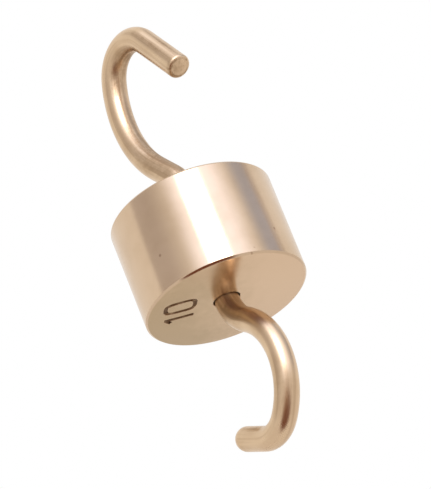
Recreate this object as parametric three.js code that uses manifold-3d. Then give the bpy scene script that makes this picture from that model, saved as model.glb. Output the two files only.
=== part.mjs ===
// Hooked laboratory weight: a solid turned brass cylinder with a bent wire hook screwed into
// each end face. The large hook hangs the weight up, and the small hook below carries the next one.
//
// Millimetres, +Z up. The origin is the seat: the point on the body's axis, at the height of the
// inside of the large hook's crown, where the weight hangs. Both hooks lie in the X-Z plane.

import * as THREE from "three";
import { mergeVertices } from "three/addons/utils/BufferGeometryUtils.js";
import Module from "manifold-3d";

// ---- driving dimensions -------------------------------------------------------------------

// Turned body
const bodyDiameter = 12.75;
const bodyHeight = 8.24;
const edgeChamfer = 0.16;

// Hook wire and the blind holes that hold its ends
const wireDiameter = 1.93;
const holeClearance = 0.085;
const holeDepth = 3.0;
const holeBevel = 0.06;
const shankEndGap = 0.3;

// Large hook, from the top face outwards: straight lengths and bends, in the order they are made.
// A bend's turn is in degrees: positive leans the wire towards +X, negative towards -X.
const upperRise = 2.05;
const upperLeanRadius = 1.7;
const upperLeanTurn = -37.7;
const upperFlank = 2.27;
const upperBackRadius = 8.36;
const upperBackTurn = 62.2;
const upperCrownRadius = 2.86;
const upperCrownTurn = 123.9;
const upperTip = 4.92;

// Small hook, whose first bend starts at the bottom face
const lowerLeanRadius = 3.3;
const lowerLeanTurn = 51.1;
const lowerBackRadius = 5.32;
const lowerBackTurn = -105.2;
const lowerCrownRadius = 2.51;
const lowerCrownTurn = -67.6;
const lowerTip = 2.14;

// Mass figure punched in the bottom face, near the rim
const numeralHeight = 2.7;
const noughtWidth = 1.72;
const flagReach = 0.5;
const flagSlope = 1.1;
const numeralStroke = 0.38;
const numeralDepth = 0.12;
const numeralPitch = 1.61;
const numeralRimMargin = 1.115;
const numeralBearing = -116.5;

// Fineness of the faceted surfaces
const bodySegments = 96;
const wireSides = 20;
const stepLength = 0.36;
const ovalPoints = 24;
const noseShare = 0.995;
const crownSamples = 2000;
const mergeTolerance = 1e-4;

// ---- sizes that follow --------------------------------------------------------------------

const bodyRadius = bodyDiameter / 2;
const wireRadius = wireDiameter / 2;
const holeRadius = wireRadius + holeClearance;
const shankDepth = holeDepth - shankEndGap;
const numeralRadius = bodyRadius - edgeChamfer - numeralRimMargin - numeralHeight / 2;

// ---- materials ----------------------------------------------------------------------------

const turnedBrass = new THREE.MeshStandardMaterial({
  name: "turned_brass",
  color: 0xd2b48c,
  roughness: 0.28,
  metalness: 1.0,
});
const wireBrass = new THREE.MeshStandardMaterial({
  name: "wire_brass",
  color: 0xcaa97c,
  roughness: 0.35,
  metalness: 1.0,
});

// ---- solid booleans -----------------------------------------------------------------------

const wasm = await Module();
wasm.setup();

function toSolid(geometry) {
  const bare = geometry.clone();
  bare.deleteAttribute("normal");
  bare.deleteAttribute("uv");
  const merged = mergeVertices(bare, mergeTolerance);
  const solidMesh = new wasm.Mesh({
    numProp: 3,
    vertProperties: new Float32Array(merged.attributes.position.array),
    triVerts: new Uint32Array(merged.index.array),
  });
  return new wasm.Manifold(solidMesh);
}

function toGeometry(solid) {
  const result = solid.getMesh();
  const geometry = new THREE.BufferGeometry();
  geometry.setAttribute("position", new THREE.BufferAttribute(result.vertProperties, 3));
  geometry.setIndex(new THREE.BufferAttribute(result.triVerts, 1));
  geometry.computeVertexNormals();
  return geometry;
}

// ---- hook wire ----------------------------------------------------------------------------

// A wire bent in the X-Z plane. It starts at (0, 0, start) heading up, and each step of the route
// is a straight { length } or a { radius, turn } bend.
class BentWire extends THREE.Curve {
  constructor(start, route) {
    super();
    this.pieces = [];
    let point = new THREE.Vector2(0, start);
    let heading = 0;
    for (const step of route) {
      const turn = THREE.MathUtils.degToRad(step.turn ?? 0);
      const length = step.length ?? step.radius * Math.abs(turn);
      const piece = { point, heading, length, curvature: turn / length };
      this.pieces.push(piece);
      point = BentWire.along(piece, length);
      heading += turn;
    }
    this.length = this.pieces.reduce((sum, piece) => sum + piece.length, 0);
  }

  // The point a distance s along one piece: x across, y up.
  static along({ point, heading, curvature }, s) {
    if (curvature === 0) {
      return new THREE.Vector2(point.x + s * Math.sin(heading), point.y + s * Math.cos(heading));
    }
    const end = heading + curvature * s;
    return new THREE.Vector2(
      point.x + (Math.cos(heading) - Math.cos(end)) / curvature,
      point.y + (Math.sin(end) - Math.sin(heading)) / curvature,
    );
  }

  getPoint(t, target = new THREE.Vector3()) {
    let rest = t * this.length;
    let index = 0;
    while (index < this.pieces.length - 1 && rest > this.pieces[index].length) {
      rest -= this.pieces[index].length;
      index += 1;
    }
    const place = BentWire.along(this.pieces[index], rest);
    return target.set(place.x, 0, place.y);
  }

  // Height of the highest point of the centreline.
  crownHeight() {
    const heights = this.getSpacedPoints(crownSamples).map((point) => point.z);
    return Math.max(...heights);
  }
}

function wireGeometry(wire) {
  const section = new THREE.Shape();
  for (let i = 0; i < wireSides; i += 1) {
    const angle = (2 * Math.PI * i) / wireSides;
    const x = wireRadius * Math.cos(angle);
    const y = wireRadius * Math.sin(angle);
    if (i === 0) section.moveTo(x, y);
    else section.lineTo(x, y);
  }
  section.closePath();
  return new THREE.ExtrudeGeometry(section, {
    steps: Math.round(wire.length / stepLength),
    extrudePath: wire,
    bevelEnabled: false,
  });
}

// A round nose on the free end of the small hook, as a ball let into the wire's end. The ball is
// a hair smaller than the wire, so that it stays within the wire's flat sides.
function roundedWireGeometry(wire) {
  const nose = new THREE.SphereGeometry(wireRadius * noseShare, wireSides, wireSides / 2);
  const end = wire.getPoint(1);
  nose.translate(end.x, end.y, end.z);
  return toGeometry(toSolid(wireGeometry(wire)).add(toSolid(nose)));
}

const upperWire = new BentWire(-shankDepth, [
  { length: shankDepth + upperRise },
  { radius: upperLeanRadius, turn: upperLeanTurn },
  { length: upperFlank },
  { radius: upperBackRadius, turn: upperBackTurn },
  { radius: upperCrownRadius, turn: upperCrownTurn },
  { length: upperTip },
]);

const lowerWire = new BentWire(-shankDepth, [
  { length: shankDepth },
  { radius: lowerLeanRadius, turn: lowerLeanTurn },
  { radius: lowerBackRadius, turn: lowerBackTurn },
  { radius: lowerCrownRadius, turn: lowerCrownTurn },
  { length: lowerTip },
]);

// ---- turned body --------------------------------------------------------------------------

// Half section from the bottom hole's floor, round the outside, to the top hole's floor.
// The body stands on z = 0.
function bodyBlank() {
  const rimRadius = holeRadius + holeBevel;
  const profile = [
    new THREE.Vector2(0, holeDepth),
    new THREE.Vector2(holeRadius, holeDepth),
    new THREE.Vector2(holeRadius, holeBevel),
    new THREE.Vector2(rimRadius, 0),
    new THREE.Vector2(bodyRadius - edgeChamfer, 0),
    new THREE.Vector2(bodyRadius, edgeChamfer),
    new THREE.Vector2(bodyRadius, bodyHeight - edgeChamfer),
    new THREE.Vector2(bodyRadius - edgeChamfer, bodyHeight),
    new THREE.Vector2(rimRadius, bodyHeight),
    new THREE.Vector2(holeRadius, bodyHeight - holeBevel),
    new THREE.Vector2(holeRadius, bodyHeight - holeDepth),
    new THREE.Vector2(0, bodyHeight - holeDepth),
  ];
  const blank = new THREE.LatheGeometry(profile, bodySegments);
  blank.rotateX(Math.PI / 2);
  return blank;
}

// The numeral one: an upright stroke with a short flag at its top left.
function figureOne() {
  const top = numeralHeight / 2;
  const half = numeralStroke / 2;
  const flagDrop = flagReach * flagSlope;
  const shape = new THREE.Shape();
  shape.moveTo(-half, -top);
  shape.lineTo(half, -top);
  shape.lineTo(half, top);
  shape.lineTo(-half, top);
  shape.lineTo(-half - flagReach, top - flagDrop);
  shape.lineTo(-half - flagReach, top - flagDrop - numeralStroke);
  shape.lineTo(-half, top - numeralStroke);
  shape.closePath();
  return shape;
}

// The numeral nought: an upright oval ring.
function figureNought() {
  const shape = new THREE.Shape();
  shape.absellipse(0, 0, noughtWidth / 2, numeralHeight / 2, 0, 2 * Math.PI);
  const inside = new THREE.Path();
  const across = noughtWidth / 2 - numeralStroke;
  const up = numeralHeight / 2 - numeralStroke;
  inside.absellipse(0, 0, across, up, 0, 2 * Math.PI);
  shape.holes.push(inside);
  return shape;
}

// A cutter for one figure, as read from below with its top towards the rim.
function numeralCutter(shape, across) {
  const cutter = new THREE.ExtrudeGeometry(shape, {
    depth: 2 * numeralDepth,
    bevelEnabled: false,
    curveSegments: ovalPoints,
  });
  cutter.translate(across, 0, -numeralDepth);
  cutter.rotateY(Math.PI);
  cutter.translate(0, numeralRadius, 0);
  cutter.rotateZ(THREE.MathUtils.degToRad(numeralBearing - 90));
  return toSolid(cutter);
}

function bodyGeometry() {
  const stamped = toSolid(bodyBlank())
    .subtract(numeralCutter(figureOne(), -numeralPitch / 2))
    .subtract(numeralCutter(figureNought(), numeralPitch / 2));
  return toGeometry(stamped);
}

// ---- assembly -----------------------------------------------------------------------------

const body = new THREE.Mesh(bodyGeometry(), turnedBrass);
body.name = "weight_body";

const upperHook = new THREE.Mesh(wireGeometry(upperWire), wireBrass.clone());
upperHook.name = "upper_hook";
upperHook.position.z = bodyHeight;

// The small hook is made heading up, then turned over about X to head down from the bottom face.
const lowerHook = new THREE.Mesh(roundedWireGeometry(lowerWire), wireBrass.clone());
lowerHook.name = "lower_hook";
lowerHook.rotation.x = Math.PI;

const hookedWeight = new THREE.Group();
hookedWeight.name = "hooked_weight";
hookedWeight.position.z = -(bodyHeight + upperWire.crownHeight() - wireRadius);
hookedWeight.add(body, upperHook, lowerHook);

export default hookedWeight;
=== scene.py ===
# %% [markdown]
# # A hooked laboratory weight
#
# The real object is three pieces of brass: a solid cylinder turned on a lathe, and two hooks bent
# from round wire, one let into a blind hole in each end face. The large hook hangs the weight up,
# and the small hook below carries the next weight of the set.
#
# The measured CAD model comes in first, as a frame that never moves. Every piece below is modelled
# in that frame, in metres, so nothing has to be fitted afterwards.

# %% Load the frame
import math

import bmesh
import bpy
import numpy as np
from mathutils import Matrix, Vector


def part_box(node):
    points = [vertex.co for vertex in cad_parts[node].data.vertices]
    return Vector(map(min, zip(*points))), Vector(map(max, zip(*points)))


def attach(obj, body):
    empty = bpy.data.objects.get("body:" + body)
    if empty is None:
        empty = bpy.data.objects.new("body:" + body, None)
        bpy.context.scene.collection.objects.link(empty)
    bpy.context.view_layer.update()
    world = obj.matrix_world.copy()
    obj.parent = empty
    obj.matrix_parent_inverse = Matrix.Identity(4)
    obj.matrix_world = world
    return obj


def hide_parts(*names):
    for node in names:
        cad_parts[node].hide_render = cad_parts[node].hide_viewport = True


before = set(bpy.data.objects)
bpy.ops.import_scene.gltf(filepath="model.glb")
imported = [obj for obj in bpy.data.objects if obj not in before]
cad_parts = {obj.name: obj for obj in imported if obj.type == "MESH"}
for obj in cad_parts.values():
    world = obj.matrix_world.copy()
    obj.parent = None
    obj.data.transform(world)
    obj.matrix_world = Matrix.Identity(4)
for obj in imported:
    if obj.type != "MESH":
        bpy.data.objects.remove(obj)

bpy.context.view_layer.update()

# %% [markdown]
# ## Sizes
#
# The places come from the frame: the body's box gives its radius, its two end faces and its
# middle. The sizes that a box can't show, such as the wire's bends, repeat the design's own values.
# They are written in millimetres, as on a drawing, and multiplied by `MM` to reach metres.

# %% Sizes
MM = 0.001

body_low, body_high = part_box("weight_body")
body_radius = (body_high.x - body_low.x) / 2
body_middle = (body_low + body_high) / 2
top_face = body_high.z
bottom_face = body_low.z

edge_chamfer = 0.16 * MM
wire_radius = 1.93 / 2 * MM
hole_clearance = 0.085 * MM
hole_radius = wire_radius + hole_clearance
hole_depth = 3.0 * MM
hole_bevel = 0.06 * MM
shank_end_gap = 0.3 * MM
shank_depth = hole_depth - shank_end_gap

print("body radius %.3f mm, height %.3f mm" % (body_radius / MM, (top_face - bottom_face) / MM))

# %% [markdown]
# ## Camera
#
# The camera looks up at the weight from below its bottom face, with a long lens, so that the
# punched face, the polished side and both hooks all show. A direction is easiest to say as an
# azimuth round the weight and an elevation above the horizon. The camera is aimed a little off the
# body's middle, which frames both hooks without any lens shift.

# %% Camera
camera_azimuth = 48.0
camera_elevation = -26.7
camera_roll = 22.04
camera_lens = 381.4
camera_distance = 60.84 * body_radius
aim_right = 0.0824 * body_radius
aim_up = 0.1111 * body_radius


def direction(azimuth, elevation):
    """The unit vector from the weight towards an azimuth and elevation in degrees."""
    across = math.radians(azimuth)
    above = math.radians(elevation)
    return Vector((
        math.sin(across) * math.cos(above),
        -math.cos(across) * math.cos(above),
        math.sin(above),
    ))


towards_camera = direction(camera_azimuth, camera_elevation)
level = (-towards_camera).to_track_quat("-Z", "Y").to_matrix()
camera_turn = level @ Matrix.Rotation(math.radians(-camera_roll), 3, "Z")
camera_right = camera_turn.col[0]
camera_up = camera_turn.col[1]
aim = body_middle + aim_right * camera_right + aim_up * camera_up

bpy.ops.object.camera_add(location=aim + camera_distance * towards_camera)
camera = bpy.context.object
camera.name = "camera"
camera.rotation_euler = camera_turn.to_euler()
camera.data.lens = camera_lens
camera.data.clip_start = 0.05
camera.data.clip_end = 50.0
bpy.context.scene.camera = camera
print("camera at", [round(x, 4) for x in camera.location])

# %% [markdown]
# ## Shader arithmetic
#
# A finish is worked out from numbers read off the surface: where a point is, how far it faces up,
# how a noise varies there. `Reading` wraps one node socket and overloads the arithmetic signs, so
# that `1 - mask` or `height * 0.2` adds the Math node that it says. `NodeSheet` has a single method
# for adding any node: its type, then its settings, then what its sockets hold. `Finish` is the
# sheet of one material.

# %% Shader arithmetic
class Reading:
    """One value on a surface, as a node's output. Arithmetic on it adds Math nodes."""

    def __init__(self, finish, socket):
        self.finish = finish
        self.socket = socket

    def __add__(self, other):
        return self.finish.maths("ADD", self, other)

    def __sub__(self, other):
        return self.finish.maths("SUBTRACT", self, other)

    def __mul__(self, other):
        return self.finish.maths("MULTIPLY", self, other)

    def __rsub__(self, other):
        return self.finish.maths("SUBTRACT", other, self)

    __radd__ = __add__
    __rmul__ = __mul__

    def part(self, letter):
        """The X, Y or Z of a vector reading."""
        split = self.finish.node("ShaderNodeSeparateXYZ", {}, {"Vector": self})
        return Reading(self.finish, split.socket.node.outputs[letter])


class NodeSheet:
    """A node tree that new nodes are added to, for a material or for the world."""

    def __init__(self, tree):
        self.tree = tree

    def node(self, kind, settings, sockets, output=0):
        """Adds a node of any kind. Settings go in before the sockets, which some of them change."""
        made = self.tree.nodes.new(kind)
        for key, value in settings.items():
            setattr(made, key, value)
        for key, value in sockets.items():
            self.feed(made.inputs[key], value)
        return Reading(self, made.outputs[output])

    def feed(self, socket, value):
        if isinstance(value, Reading):
            self.tree.links.new(value.socket, socket)
        else:
            socket.default_value = value

    def maths(self, operation, *values):
        return self.node("ShaderNodeMath", {"operation": operation}, dict(enumerate(values)))

    def ramp(self, value, low, high, start=0.0, end=1.0):
        """Start where the value is at low or under, end where it is at high or over, smooth between."""
        return self.node(
            "ShaderNodeMapRange",
            {"interpolation_type": "SMOOTHSTEP"},
            {"Value": value, "From Min": low, "From Max": high, "To Min": start, "To Max": end},
        )

    def blend(self, mask, first, second):
        """One colour where the mask is 0, going to another where it is 1."""
        return self.node(
            "ShaderNodeMix",
            {"data_type": "RGBA"},
            {"Factor": mask, 6: first, 7: second},
            output=2,
        )

    def noise(self, place, scale, detail=2.0, roughness=0.5):
        """A soft random pattern in three directions, from 0 to 1."""
        return self.node(
            "ShaderNodeTexNoise",
            {"noise_dimensions": "3D"},
            {"Vector": place, "Scale": scale, "Detail": detail, "Roughness": roughness},
        )

    def rings(self, distance, scale, detail=2.0, roughness=0.5):
        """A random pattern along one distance only, as the marks of a cutting tool are."""
        return self.node(
            "ShaderNodeTexNoise",
            {"noise_dimensions": "1D"},
            {"W": distance, "Scale": scale, "Detail": detail, "Roughness": roughness},
        )


class Finish(NodeSheet):
    """A material built from nodes round one Principled shader."""

    def __init__(self, name):
        self.material = bpy.data.materials.new(name)
        self.material.use_nodes = True
        super().__init__(self.material.node_tree)
        self.shader = self.tree.nodes["Principled BSDF"]

    def paint(self, **sockets):
        """Sets the shader's sockets, named with _ for a space."""
        for key, value in sockets.items():
            self.feed(self.shader.inputs[key.replace("_", " ")], value)


print("shader helpers ready")

# %% [markdown]
# ## Studio
#
# Polished brass shows its surroundings more than its own colour, so the studio is most of the look.
# The weight hangs in a plain white tent over a pale floor. One soft box stands to its right and
# makes the white band down its side. The tent's wall glows round the soft box, is dim to both
# sides of that, and is white again behind, where two seams run up the cloth. Those changes are
# painted on the world by direction, because a real tent is far away and nearly all of it is soft.
# The camera itself sees plain white there.

# %% Tent wall
scene = bpy.context.scene
scene.view_settings.view_transform = "Standard"

tent = bpy.data.worlds.new("white_tent")
tent.use_nodes = True
scene.world = tent
wall = NodeSheet(tent.node_tree)
view = wall.node("ShaderNodeTexCoord", {}, {}, output="Generated")
view_x, view_y, view_z = (view.part(letter) for letter in "XYZ")
wall_azimuth = wall.maths("ARCTAN2", view_x, 0.0 - view_y) * math.degrees(1)
wall_elevation = wall.maths("ARCSINE", view_z) * math.degrees(1)


def patch(azimuths, azimuth_fades, elevations, elevation_fade):
    """1 inside a range of azimuths and elevations on the tent's wall, fading to 0 at its edges."""
    left, right = azimuths
    bottom, top = elevations
    return (
        wall.ramp(wall_azimuth, left, left + azimuth_fades[0])
        * wall.ramp(wall_azimuth, right - azimuth_fades[1], right, 1.0, 0.0)
        * wall.ramp(wall_elevation, bottom, bottom + elevation_fade)
        * wall.ramp(wall_elevation, top - elevation_fade, top, 1.0, 0.0)
    )


wall_white = (1.0, 0.99, 0.98, 1.0)
glow = wall.blend(patch((14, 126), (32, 40), (-30, 90), 25), wall_white, (1.70, 1.82, 2.25, 1.0))
dim_left = wall.blend(patch((-36, 36), (6, 46), (-10, 85), 25), glow, (0.64, 0.61, 0.62, 1.0))
dim_right = wall.blend(patch((112, 162), (24, 16), (-10, 85), 25), dim_left, (0.58, 0.65, 0.86, 1.0))
sewn = dim_right
for seam_azimuth in (151.0, 157.0):
    seam = patch((seam_azimuth - 2, seam_azimuth + 2), (1.5, 1.5), (-5, 60), 20)
    sewn = wall.blend(seam, sewn, (0.58, 0.50, 0.45, 1.0))
seen = wall.node("ShaderNodeLightPath", {}, {}, output="Is Camera Ray")
backdrop = wall.blend(seen, sewn, (1.0, 1.0, 1.0, 1.0))
wall.feed(tent.node_tree.nodes["Background"].inputs["Color"], backdrop)
print("tent painted with", len(tent.node_tree.nodes), "nodes")

# %% Floor
floor_drop = 0.75
floor_size = 16.0

bpy.ops.object.select_all(action="DESELECT")
bpy.ops.mesh.primitive_plane_add(size=floor_size, location=(0, 0, body_middle.z - floor_drop))
floor = bpy.context.object
floor.name = "floor"
floor_finish = Finish("pale_floor")
floor_finish.paint(Base_Color=(0.80, 0.755, 0.68, 1.0), Roughness=0.9)
floor.data.materials.append(floor_finish.material)
print("floor at %.3f m" % floor.location.z)


# %% [markdown]
# The soft box is an area light. Below the camera hangs a round dark flag of warm cloth, golden
# brown at its top and maroon below. The camera doesn't see it, but the bends of the wire and the
# lower chamfer mirror it, which gives them their small brown cores and the dark line round the
# rim. A subject of bright metal needs something dark to mirror, or its shape disappears.

# %% Soft box and flag
def facing_weight(azimuth, elevation):
    """The turn that makes an object's +Z side face the weight from that direction."""
    return (-direction(azimuth, elevation)).to_track_quat("Z", "Y")


def soft_box(name, azimuth, elevation, distance, width, height, radiance):
    """An oblong light that faces the weight, so bright all over its surface."""
    data = bpy.data.lights.new(name, "AREA")
    data.shape = "RECTANGLE"
    data.size = width
    data.size_y = height
    data.energy = radiance * math.pi * width * height
    lamp = bpy.data.objects.new(name, data)
    scene.collection.objects.link(lamp)
    lamp.location = body_middle + distance * direction(azimuth, elevation)
    turn_over = Matrix.Rotation(math.pi, 3, "X").to_quaternion()
    lamp.rotation_euler = (facing_weight(azimuth, elevation) @ turn_over).to_euler()
    lamp.visible_camera = False


def round_flag(name, azimuth, elevation, distance, reach, fade, low_colour, high_colour):
    """A round flag seen from the weight as reach degrees in radius, fading at its edge."""
    bpy.ops.object.select_all(action="DESELECT")
    bpy.ops.mesh.primitive_circle_add(vertices=64, radius=1.0, fill_type="NGON")
    flag = bpy.context.object
    flag.name = name
    flag.location = body_middle + distance * direction(azimuth, elevation)
    flag.rotation_euler = facing_weight(azimuth, elevation).to_euler()
    radius = distance * math.tan(math.radians(reach))
    flag.scale = (radius, radius, 1.0)
    cloth = Finish(name)
    place = cloth.node("ShaderNodeTexCoord", {}, {}, output="Object")
    out = cloth.node("ShaderNodeVectorMath", {"operation": "LENGTH"}, {0: place}, output="Value")
    solid = cloth.ramp(out, 1.0 - fade, 1.0, 1.0, 0.0)
    clear = cloth.node("ShaderNodeBsdfTransparent", {}, {})
    upper = cloth.ramp(place.part("Y"), 0.1, 0.8)
    dye = cloth.blend(upper, (*low_colour, 1.0), (*high_colour, 1.0))
    glow = cloth.node("ShaderNodeEmission", {}, {"Color": dye, "Strength": 1.0})
    mixed = cloth.node("ShaderNodeMixShader", {}, {0: solid, 1: clear, 2: glow})
    cloth.feed(cloth.tree.nodes["Material Output"].inputs["Surface"], mixed)
    flag.data.materials.append(cloth.material)
    flag.visible_camera = False
    flag.visible_shadow = False
    flag.visible_diffuse = False


maroon = (0.18, 0.05, 0.018)
golden_brown = (0.42, 0.22, 0.09)

soft_box(
    "soft_box", azimuth=61.0, elevation=20.0, distance=0.40, width=0.20, height=0.22, radiance=5.5
)
round_flag(
    "dark_flag", azimuth=40.0, elevation=-54.0, distance=0.50, reach=34.0, fade=0.30,
    low_colour=maroon, high_colour=golden_brown,
)
print("studio lit")

# %% [markdown]
# ## Modelling helpers
#
# Blender's edit operators act on whatever is selected. These helpers choose vertices by their
# place, which is how a person picks an edge or a rim by eye, and they keep the object and edit
# modes straight.

# %% Modelling helpers
def deselect_objects():
    if bpy.context.mode != "OBJECT":
        bpy.ops.object.mode_set(mode="OBJECT")
    bpy.ops.object.select_all(action="DESELECT")


def pick(piece):
    """Makes one object the only one that the operators act on."""
    deselect_objects()
    piece.select_set(True)
    bpy.context.view_layer.objects.active = piece


def radius_of(point):
    return math.hypot(point.x, point.y)


def close_up(piece, merge=1e-7):
    """Merges doubled vertices and turns every face outwards."""
    pick(piece)
    bpy.ops.object.mode_set(mode="EDIT")
    bpy.ops.mesh.select_all(action="SELECT")
    bpy.ops.mesh.remove_doubles(threshold=merge)
    bpy.ops.mesh.normals_make_consistent(inside=False)
    bpy.ops.object.mode_set(mode="OBJECT")


def apply_modifier(piece, kind, settings):
    pick(piece)
    modifier = piece.modifiers.new(kind.lower(), kind)
    for key, value in settings.items():
        setattr(modifier, key, value)
    bpy.ops.object.modifier_apply(modifier=modifier.name)


def report_piece(piece, node):
    """Prints how far a piece's box is from the CAD node it stands for, and whether it is closed."""
    low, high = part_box(node)
    points = np.array([vertex.co for vertex in piece.data.vertices])
    off = [points.min(0) - np.array(low), points.max(0) - np.array(high)]
    mesh = bmesh.new()
    mesh.from_mesh(piece.data)
    open_edges = sum(not edge.is_manifold for edge in mesh.edges)
    volume = mesh.calc_volume(signed=True)
    mesh.free()
    print(
        piece.name, len(piece.data.vertices), "vertices, open edges", open_edges,
        "volume %.1f mm3" % (volume / MM**3), "box off by mm", np.round(np.array(off) / MM, 3).tolist(),
    )


print("modelling helpers ready")

# %% [markdown]
# ## Turned body
#
# The body is turned from bar, so it is modelled as a lathe would cut it: half of its section is
# drawn as a chain of points and spun once round the axis. A cylinder primitive with bevels would
# give the outside, but the section also carries both blind holes with the cone that a drill
# leaves, the chamfers, and the small countersinks at the holes' mouths.

# %% Section of the body
drill_lip_angle = 31.0
drill_point = hole_radius * math.tan(math.radians(drill_lip_angle))
height = top_face - bottom_face
lower_half = [
    (0.0, hole_depth + drill_point),
    (hole_radius, hole_depth),
    (hole_radius, hole_bevel),
    (hole_radius + hole_bevel, 0.0),
    (body_radius - edge_chamfer, 0.0),
    (body_radius, edge_chamfer),
]
section = lower_half + [(radius, height - rise) for radius, rise in reversed(lower_half)]
body_steps = 256

deselect_objects()
bpy.ops.mesh.primitive_plane_add(size=body_radius, location=(0, 0, 0))
body = bpy.context.object
body.name = "turned_body"
bpy.ops.object.mode_set(mode="EDIT")
bpy.ops.mesh.merge(type="CENTER")
first = Vector((section[0][0], 0, bottom_face + section[0][1]))
bpy.ops.transform.translate(value=first)
for (radius, rise), (next_radius, next_rise) in zip(section, section[1:]):
    move = (next_radius - radius, 0, next_rise - rise)
    bpy.ops.mesh.extrude_vertices_move(TRANSFORM_OT_translate={"value": move})
print("section has", len(section), "points")

# %% Spin the section round the axis
bpy.ops.mesh.select_all(action="SELECT")
bpy.ops.mesh.spin(steps=body_steps, angle=2 * math.pi, center=(0, 0, 0), axis=(0, 0, 1))
close_up(body)
report_piece(body, "weight_body")

# %% [markdown]
# The tool leaves the chamfer's two edges crisp, but polishing takes the sharpness off them. A tiny
# bevel there catches a thin line of light all round, as the real edge does.

# %% Break the chamfer edges
edge_break = 0.035 * MM
same_place = 0.001 * MM


def on_chamfer_edge(point):
    depth = min(point.z - bottom_face, top_face - point.z)
    inner = abs(radius_of(point) - (body_radius - edge_chamfer)) < same_place
    outer = abs(radius_of(point) - body_radius) < same_place
    return (inner and depth < same_place) or (outer and abs(depth - edge_chamfer) < same_place)


def select_edge_loops(piece, test):
    """Selects only the edges that run round the axis, between vertices that pass the test."""
    bpy.ops.mesh.select_mode(type="EDGE")
    mesh = bmesh.from_edit_mesh(piece.data)
    for edge in mesh.edges:
        start, end = (vertex.co for vertex in edge.verts)
        edge.select = test(start) and test(end) and abs(start.z - end.z) < same_place
    bmesh.update_edit_mesh(piece.data)


pick(body)
bpy.ops.object.mode_set(mode="EDIT")
bpy.ops.mesh.select_all(action="DESELECT")
select_edge_loops(body, on_chamfer_edge)
bpy.ops.mesh.bevel(offset=edge_break, segments=3, affect="EDGES")
bpy.ops.object.mode_set(mode="OBJECT")
report_piece(body, "weight_body")

# %% [markdown]
# ## Punched figure
#
# The mass is punched in the bottom face with hand punches: a one and a nought, tops towards the
# rim. Each stroke is a groove with a round floor. A stroke's centreline is drawn as a chain of
# points and turned into a round bar, which is then cut out of the body. The one's flag stops just
# inside its stem, so that the two cuts cross cleanly.

# %% Centrelines of the two figures
numeral_height = 2.7 * MM
nought_width = 1.72 * MM
flag_reach = 0.5 * MM
flag_slope = 1.1
numeral_stroke = 0.38 * MM
flag_inset = 0.25 * numeral_stroke
flag_inset_drop = 1.3 * flag_inset
numeral_depth = 0.12 * MM
numeral_pitch = 1.61 * MM
rim_margin = 1.115 * MM
numeral_bearing = -116.5
numeral_radius = body_radius - edge_chamfer - rim_margin - numeral_height / 2
squareness = 3.6
nought_points = 72


def on_face(across, up):
    """A point of a figure, as read from below with its top to the rim, placed on the face."""
    turn = Matrix.Rotation(math.radians(numeral_bearing - 90), 3, "Z")
    place = turn @ Vector((-across, numeral_radius + up, 0))
    return Vector((place.x, place.y, bottom_face))


def nought_line():
    half_width = (nought_width - numeral_stroke) / 2
    half_height = (numeral_height - numeral_stroke) / 2
    points = []
    for i in range(nought_points):
        angle = 2 * math.pi * i / nought_points
        across = math.copysign(abs(math.cos(angle)) ** (2 / squareness), math.cos(angle))
        up = math.copysign(abs(math.sin(angle)) ** (2 / squareness), math.sin(angle))
        points.append(on_face(numeral_pitch / 2 + half_width * across, half_height * up))
    return points


def one_lines():
    """The stem and the flag of the one, each a straight stroke of its own."""
    top = (numeral_height - numeral_stroke) / 2
    across = -numeral_pitch / 2
    stem = [on_face(across, top), on_face(across, -top)]
    flag_foot = on_face(across - flag_reach, top - flag_slope * flag_reach)
    flag_top = on_face(across - flag_inset, top - flag_inset_drop)
    return stem, [flag_foot, flag_top]


def stroke_bar(name, points, closed, bar_radius, lift):
    """A round bar along a figure's centreline, its axis lifted clear of the face by so much."""
    deselect_objects()
    line = bpy.data.curves.new(name, "CURVE")
    line.dimensions = "3D"
    spline = line.splines.new("POLY")
    spline.points.add(len(points) - 1)
    for spot, point in zip(spline.points, points):
        spot.co = (point.x, point.y, point.z - lift, 1.0)
    spline.use_cyclic_u = closed
    line.bevel_depth = bar_radius
    line.bevel_resolution = 6
    line.use_fill_caps = True
    bar = bpy.data.objects.new(name, line)
    scene.collection.objects.link(bar)
    pick(bar)
    bpy.ops.object.convert(target="MESH")
    close_up(bar)
    return bar


print("figures centred %.2f mm from the axis" % (numeral_radius / MM))

# %% Cut the grooves
def bar_through(half_width, rise):
    """Radius of a bar that meets the face half_width to each side, and passes rise beyond it."""
    return (half_width**2 + rise**2) / (2 * rise)


stem, flag = one_lines()
figures = {"stem": (stem, False), "flag": (flag, False), "nought": (nought_line(), True)}
groove_radius = bar_through(numeral_stroke / 2, numeral_depth)
for name, (points, closed) in figures.items():
    groove = stroke_bar("groove_" + name, points, closed, groove_radius, groove_radius - numeral_depth)
    apply_modifier(body, "BOOLEAN", {"operation": "DIFFERENCE", "solver": "EXACT", "object": groove})
    bpy.data.objects.remove(groove)
    report_piece(body, "weight_body")
close_up(body)
report_piece(body, "weight_body")

# %% [markdown]
# ## Hooks
#
# A hook starts as a straight piece of round wire, and a jig bends it: a length is fed forward,
# then the wire is turned about a former, and so on. The model is made by the same moves. A disc is
# extruded forward for each straight, and spun about the former's centre for each bend, so that the
# wire keeps its full round section everywhere. A curve with a round bevel would be quicker, but it
# leaves no rings to shape the ends from. The ends that sit in the body stay plain rods, where a
# real hook has a rolled thread.

# %% Wire jig
wire_sides = 64
ring_spacing = 0.22 * MM
smallest_ring = 0.02 * wire_radius
spin_sign = -1  # the spin operator turns about an axis against the right-hand rule


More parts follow.
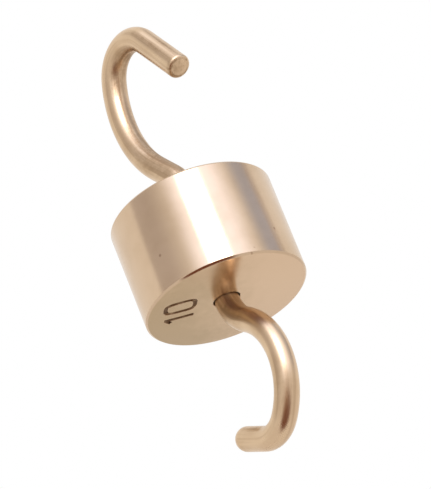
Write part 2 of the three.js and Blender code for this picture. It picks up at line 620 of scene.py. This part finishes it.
class Jig:
    """Feeds and bends one wire in the X-Z plane, with its free end selected in edit mode."""

    def __init__(self, name, start, upward):
        deselect_objects()
        bpy.ops.mesh.primitive_circle_add(
            vertices=wire_sides, radius=wire_radius, fill_type="NGON", location=(0, 0, 0)
        )
        self.wire = bpy.context.object
        self.wire.name = name
        self.sense = 1 if upward else -1
        self.end = Vector((0, 0, start))
        self.heading = 0.0
        self.trail = []
        self.travelled = 0.0
        bpy.ops.object.mode_set(mode="EDIT")
        bpy.ops.mesh.select_all(action="SELECT")
        bpy.ops.transform.translate(value=self.end)

    def forward(self):
        return Vector((math.sin(self.heading), 0, self.sense * math.cos(self.heading)))

    def sideways(self):
        """Square to the wire, towards the +X side when the wire heads straight out."""
        return Vector((math.cos(self.heading), 0, -self.sense * math.sin(self.heading)))

    def note(self, length):
        self.trail.append((self.travelled, self.end.copy(), self.forward(), self.sideways()))
        self.travelled += length

    def feed(self, length):
        """Pushes the wire straight forward."""
        steps = max(1, round(length / ring_spacing))
        move = self.forward() * (length / steps)
        for _ in range(steps):
            self.note(length / steps)
            bpy.ops.mesh.extrude_region_move(TRANSFORM_OT_translate={"value": move})
            self.end += move

    def bend(self, radius, degrees):
        """Positive degrees turn the wire towards +X."""
        turn = math.radians(degrees)
        length = radius * abs(turn)
        steps = max(2, round(length / ring_spacing))
        centre = self.end + math.copysign(radius, turn) * self.sideways()
        bpy.ops.mesh.spin(
            steps=steps, angle=spin_sign * self.sense * turn, center=centre, axis=(0, 1, 0)
        )
        for _ in range(steps):
            self.note(length / steps)
            step = turn / steps
            out = self.end - centre
            angle = self.sense * step
            self.end = centre + Matrix.Rotation(angle, 3, "Y") @ out
            self.heading += step

    def taper(self, share, advance):
        """Draws the free end in to a share of its width while it goes forward."""
        bpy.ops.mesh.extrude_region_move(
            TRANSFORM_OT_translate={"value": self.forward() * advance}
        )
        self.end += self.forward() * advance
        bpy.ops.transform.resize(value=(share,) * 3, center_override=self.end)

    def round_over(self, reach, steps):
        """Rounds the free end off by a quarter circle of this radius."""
        width = wire_radius
        for i in range(1, steps + 1):
            angle = math.pi / 2 * i / steps
            before = math.pi / 2 * (i - 1) / steps
            aimed = max(wire_radius - reach * (1 - math.cos(angle)), smallest_ring)
            self.taper(aimed / width, reach * (math.sin(angle) - math.sin(before)))
            width = aimed


print("jig ready")

# %% [markdown]
# Patterns on a wire have to run along it, through every bend. So each vertex also keeps the place
# that it had when the wire was straight: how far across, how far to the side and how far along.
# The nearest point of the jig's trail gives that, and the shader reads it as an attribute.

# %% Straightened places
def straighten(piece, trail):
    """Stores and returns each vertex's place on the wire as it was before bending."""
    points = np.array([vertex.co for vertex in piece.data.vertices])
    along = np.array([mark[0] for mark in trail])
    centres = np.array([mark[1] for mark in trail])
    forwards = np.array([mark[2] for mark in trail])
    sideways = np.array([mark[3] for mark in trail])
    apart = np.linalg.norm(points[:, None, :] - centres[None, :, :], axis=2)
    nearest = apart.argmin(axis=1)
    offset = points - centres[nearest]
    straight = np.stack([
        (offset * sideways[nearest]).sum(axis=1),
        offset[:, 1],
        along[nearest] + (offset * forwards[nearest]).sum(axis=1),
    ], axis=1)
    attribute = piece.data.attributes.new("straight", "FLOAT_VECTOR", "POINT")
    attribute.data.foreach_set("vector", straight.astype(np.float32).ravel())
    return straight


print("straightening ready")

# %% [markdown]
# Handling keeps the outsides of the bends bright, and tarnish stays where fingers and polish don't
# reach: inside the bends and round a sawn end. A second attribute holds how dark each vertex is,
# as the strongest of a few soft-edged marks. Most are tarnish; the spot below the large hook's
# crown and the small hook's root beside the body are painted dark reflections.

# %% Tarnish and painted dark reflections on a wire
def mark_tarnish_and_reflections(piece, straight, marks):
    """Darkens the wire by marks: most are tarnish, and some are painted dark reflections. A mark is
    its place along the wire and reach in mm, its side and spread in degrees, and a strength.
    Side 0 faces +X before bending, and side 90 faces -Y."""
    along = straight[:, 2] / MM
    side = np.degrees(np.arctan2(-straight[:, 1], straight[:, 0]))
    tarnish_and_painted_reflection = np.zeros(len(straight))
    for middle, reach, facing, spread, strength in marks:
        round_wire = np.abs((side - facing + 180) % 360 - 180)
        fade = np.clip(1 - np.abs(along - middle) / reach, 0, 1) * np.clip(1 - round_wire / spread, 0, 1)
        tarnish_and_painted_reflection = np.maximum(tarnish_and_painted_reflection, strength * np.sqrt(fade))
    attribute = piece.data.attributes.new("tarnish_and_painted_reflection", "FLOAT", "POINT")
    attribute.data.foreach_set("value", tarnish_and_painted_reflection.astype(np.float32))
    print(piece.name, "mean tarnish %.2f" % tarnish_and_painted_reflection.mean())


# %% [markdown]
# ## Large hook
#
# The large hook leans out of the top face, sweeps back round a wide former and closes over a tight
# one. Its end is sawn off square, which leaves the face a little hollow, and its edge is only
# broken with a file.

# %% Bend the large hook
tip_edge = 0.24 * MM
saw_dish = 0.02 * MM
dish_share = 0.9

jig = Jig("large_hook", top_face - shank_depth, upward=True)
jig.feed(shank_depth + 2.05 * MM)
jig.bend(1.7 * MM, -37.7)
jig.feed(2.27 * MM)
jig.bend(8.36 * MM, 62.2)
jig.bend(2.86 * MM, 123.9)
jig.feed(4.92 * MM - tip_edge)
jig.note(0.0)
jig.round_over(tip_edge, 5)
jig.taper(dish_share, -saw_dish)
bpy.ops.object.mode_set(mode="OBJECT")
large_hook = jig.wire
close_up(large_hook)
large_straight = straighten(large_hook, jig.trail)
hook_end = large_straight[:, 2].max() / MM
mark_tarnish_and_reflections(large_hook, large_straight, (
    (20.0, 4.0, 0, 70, 0.8),  # inside of the crown
    (17.2, 1.5, 28, 42, 1.0),  # painted dark reflection below the crown
    (13.5, 3.0, -15, 50, 0.6),  # inside of the back
    (9.0, 5.0, 0, 80, 0.9),  # inside of the flank and lower back
    (7.5, 4.5, 60, 70, 0.7),  # flank, towards -Y
    (25.0, 3.6, 124, 14, 1.0),  # first long streak on the tip
    (25.8, 3.0, 163, 12, 0.8),  # second long streak on the tip
    (hook_end, 0.016, 0, 400, 1.0),  # rim of the sawn face, all round
    (hook_end - 0.1, 0.35, 60, 120, 0.5),  # filed edge, towards -Y
))
report_piece(large_hook, "upper_hook")

# %% [markdown]
# ## Small hook
#
# The small hook bends sideways as soon as it leaves the bottom face and sweeps round to hang the
# next weight on the axis. Its end is filed to a full round nose.

# %% Bend the small hook
jig = Jig("small_hook", bottom_face + shank_depth, upward=False)
jig.feed(shank_depth)
jig.bend(3.3 * MM, 51.1)
jig.bend(5.32 * MM, -105.2)
jig.bend(2.51 * MM, -67.6)
jig.feed(2.14 * MM)
jig.note(0.0)
jig.round_over(wire_radius, 12)
bpy.ops.object.mode_set(mode="OBJECT")
small_hook = jig.wire
close_up(small_hook)
small_straight = straighten(small_hook, jig.trail)
mark_tarnish_and_reflections(small_hook, small_straight, (
    (3.8, 2.6, 60, 110, 0.6),  # painted dark reflection at the root, beside the body
    (14.5, 3.0, 170, 60, 0.6),  # inside of the lower bend
    (13.0, 2.5, 60, 70, 0.35),  # outside of the back, towards -Y
))
report_piece(small_hook, "lower_hook")

# %% [markdown]
# ## Finishes
#
# Turned brass is bright and carries very fine rings from the tool: round the axis on the side,
# and in circles on the end faces. The rings blur a reflection across themselves, which the
# shader's anisotropy does. The end faces carry a painted reflection, lighter towards one side and
# darker, olive, towards the other. The side has a few brown freckles. The floor of a punched
# stroke is dark with old polish.

# %% Turned brass
def turned_brass():
    finish = Finish("turned_brass")
    place = finish.node("ShaderNodeTexCoord", {}, {}, output="Object")
    facing = finish.node("ShaderNodeTexCoord", {}, {}, output="Normal")
    across = finish.maths("SQRT", place.part("X") * place.part("X") + place.part("Y") * place.part("Y"))
    on_end = finish.ramp(finish.maths("ABSOLUTE", facing.part("Z")), 0.8, 0.9)
    rise = place.part("Z")
    travel = rise * (1 - on_end) + across * on_end
    feed_marks = finish.rings(travel, 9000.0, detail=3.0, roughness=0.7)
    bands = finish.rings(travel, 900.0, detail=2.0)
    stain = finish.noise(place, 260.0, detail=5.0, roughness=0.6)
    grain = finish.noise(place, 1500.0, detail=4.0, roughness=0.65)

    polished = finish.blend(
        finish.ramp(stain, 0.35, 0.75), (0.66, 0.49, 0.335, 1.0), (0.60, 0.435, 0.285, 1.0)
    )
    # Painted reflection on the end faces: lighter towards +X+Y and darker, olive, towards -X-Y, broken up
    # by noise.
    painted_end_reflection_axis = place.part("X") * -0.67 + place.part("Y") * -0.74
    painted_end_reflection_mask = finish.ramp(
        painted_end_reflection_axis + (stain - 0.5) * (6.0 * MM) + (grain - 0.5) * (5.0 * MM) + (bands - 0.5) * (2.0 * MM),
        -4.0 * MM,
        5.0 * MM,
    )
    end_with_painted_reflection = finish.blend(painted_end_reflection_mask, (0.73, 0.53, 0.35, 1.0), (0.50, 0.365, 0.215, 1.0))
    bright = finish.blend(on_end, polished, end_with_painted_reflection)

    cells = finish.node(
        "ShaderNodeTexVoronoi", {"feature": "F1"}, {"Vector": place, "Scale": 650.0}
    )
    rare = finish.ramp(finish.noise(place, 500.0), 0.50, 0.56)
    freckle = finish.ramp(cells, 0.05, 0.10, 1.0, 0.0) * rare * 0.55
    freckled = finish.blend(freckle, bright, (0.30, 0.17, 0.10, 1.0))

    sunk = finish.ramp(rise - bottom_face, 0.004 * MM, 0.05 * MM)
    inside_rim = finish.ramp(across, 6.0 * MM, 6.1 * MM, 1.0, 0.0)
    outside_hole = finish.ramp(across, 1.3 * MM, 1.4 * MM)
    low = finish.ramp(rise - bottom_face, 0.2 * MM, 0.3 * MM, 1.0, 0.0)
    groove = sunk * inside_rim * outside_hole * low * finish.ramp(grain, 0.25, 0.55, 0.55, 1.0)
    colour = finish.blend(groove, freckled, (0.20, 0.115, 0.06, 1.0))
    relief = feed_marks * 0.7 + bands * 0.3
    bump = finish.node(
        "ShaderNodeBump", {}, {"Strength": 0.35, "Distance": 0.004 * MM, "Height": relief}
    )
    finish.paint(
        Base_Color=colour,
        Metallic=1.0,
        Roughness=0.17 + bands * 0.06 + groove * 0.35 + on_end * 0.03,
        Anisotropic=0.8,
        Anisotropic_Rotation=0.25,
        Normal=bump,
    )
    return finish.material


body.data.materials.clear()
body.data.materials.append(turned_brass())
print("turned brass painted")

# %% [markdown]
# Drawn wire carries long fine lines from the die, and it tarnishes along them. The lines are a
# noise read at the straightened place and stretched along the wire. Brown, for tarnish and for the
# painted dark reflections, gathers where both the marks and a coarser set of those lines say so,
# and it is rougher there.

# %% Drawn brass wire
def wire_brass():
    finish = Finish("wire_brass")
    straight = finish.node(
        "ShaderNodeAttribute", {"attribute_name": "straight"}, {}, output="Vector"
    )
    tarnish_and_painted_reflection = finish.node("ShaderNodeAttribute", {"attribute_name": "tarnish_and_painted_reflection"}, {}, output="Fac")
    stretched = finish.node(
        "ShaderNodeMapping", {}, {"Vector": straight, "Scale": (1.0, 1.0, 0.035)}
    )
    lines = finish.noise(stretched, 9000.0, detail=3.0, roughness=0.6)
    streaks = finish.noise(stretched, 3400.0, detail=2.0, roughness=0.55)
    mottle = finish.noise(straight, 420.0, detail=5.0, roughness=0.6)
    grain = finish.noise(straight, 3000.0, detail=3.0, roughness=0.6)
    clean = finish.blend(
        finish.ramp(mottle, 0.35, 0.75), (0.70, 0.515, 0.335, 1.0), (0.62, 0.44, 0.27, 1.0)
    )
    streaked = finish.blend(finish.ramp(streaks, 0.48, 0.72) * 0.5, clean, (0.46, 0.31, 0.19, 1.0))
    patchy = finish.ramp(streaks * 0.55 + grain * 0.25 + mottle * 0.2, 0.38, 0.60, 0.25, 1.0)
    darkening = tarnish_and_painted_reflection * patchy
    # The brown is tarnish, and below the large hook's crown and at the small hook's root it is a painted
    # dark reflection.
    colour = finish.blend(darkening, streaked, (0.27, 0.165, 0.085, 1.0))
    bump = finish.node(
        "ShaderNodeBump", {}, {"Strength": 0.5, "Distance": 0.005 * MM, "Height": lines + grain * 0.5}
    )
    finish.paint(
        Base_Color=colour,
        Metallic=1.0,
        Roughness=0.23 + mottle * 0.12 + darkening * 0.28,
        Normal=bump,
    )
    return finish.material


wire_finish = wire_brass()
for hook in (large_hook, small_hook):
    hook.data.materials.clear()
    hook.data.materials.append(wire_finish)
print("wire painted")

# %% [markdown]
# ## Attach the pieces
#
# Each piece rides on the frame's one body, and the CAD solid that it stands for is hidden.

# %% Attach the pieces
for piece, node, finish_slot in (
    (body, "weight_body", "turned_brass"),
    (large_hook, "upper_hook", "wire_brass"),
    (small_hook, "lower_hook", "wire_brass"),
):
    pick(piece)
    bpy.ops.object.shade_smooth_by_angle(angle=math.radians(35))
    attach(piece, "root")
    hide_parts(node)
deselect_objects()

# %% Update the view layer
bpy.context.view_layer.update()
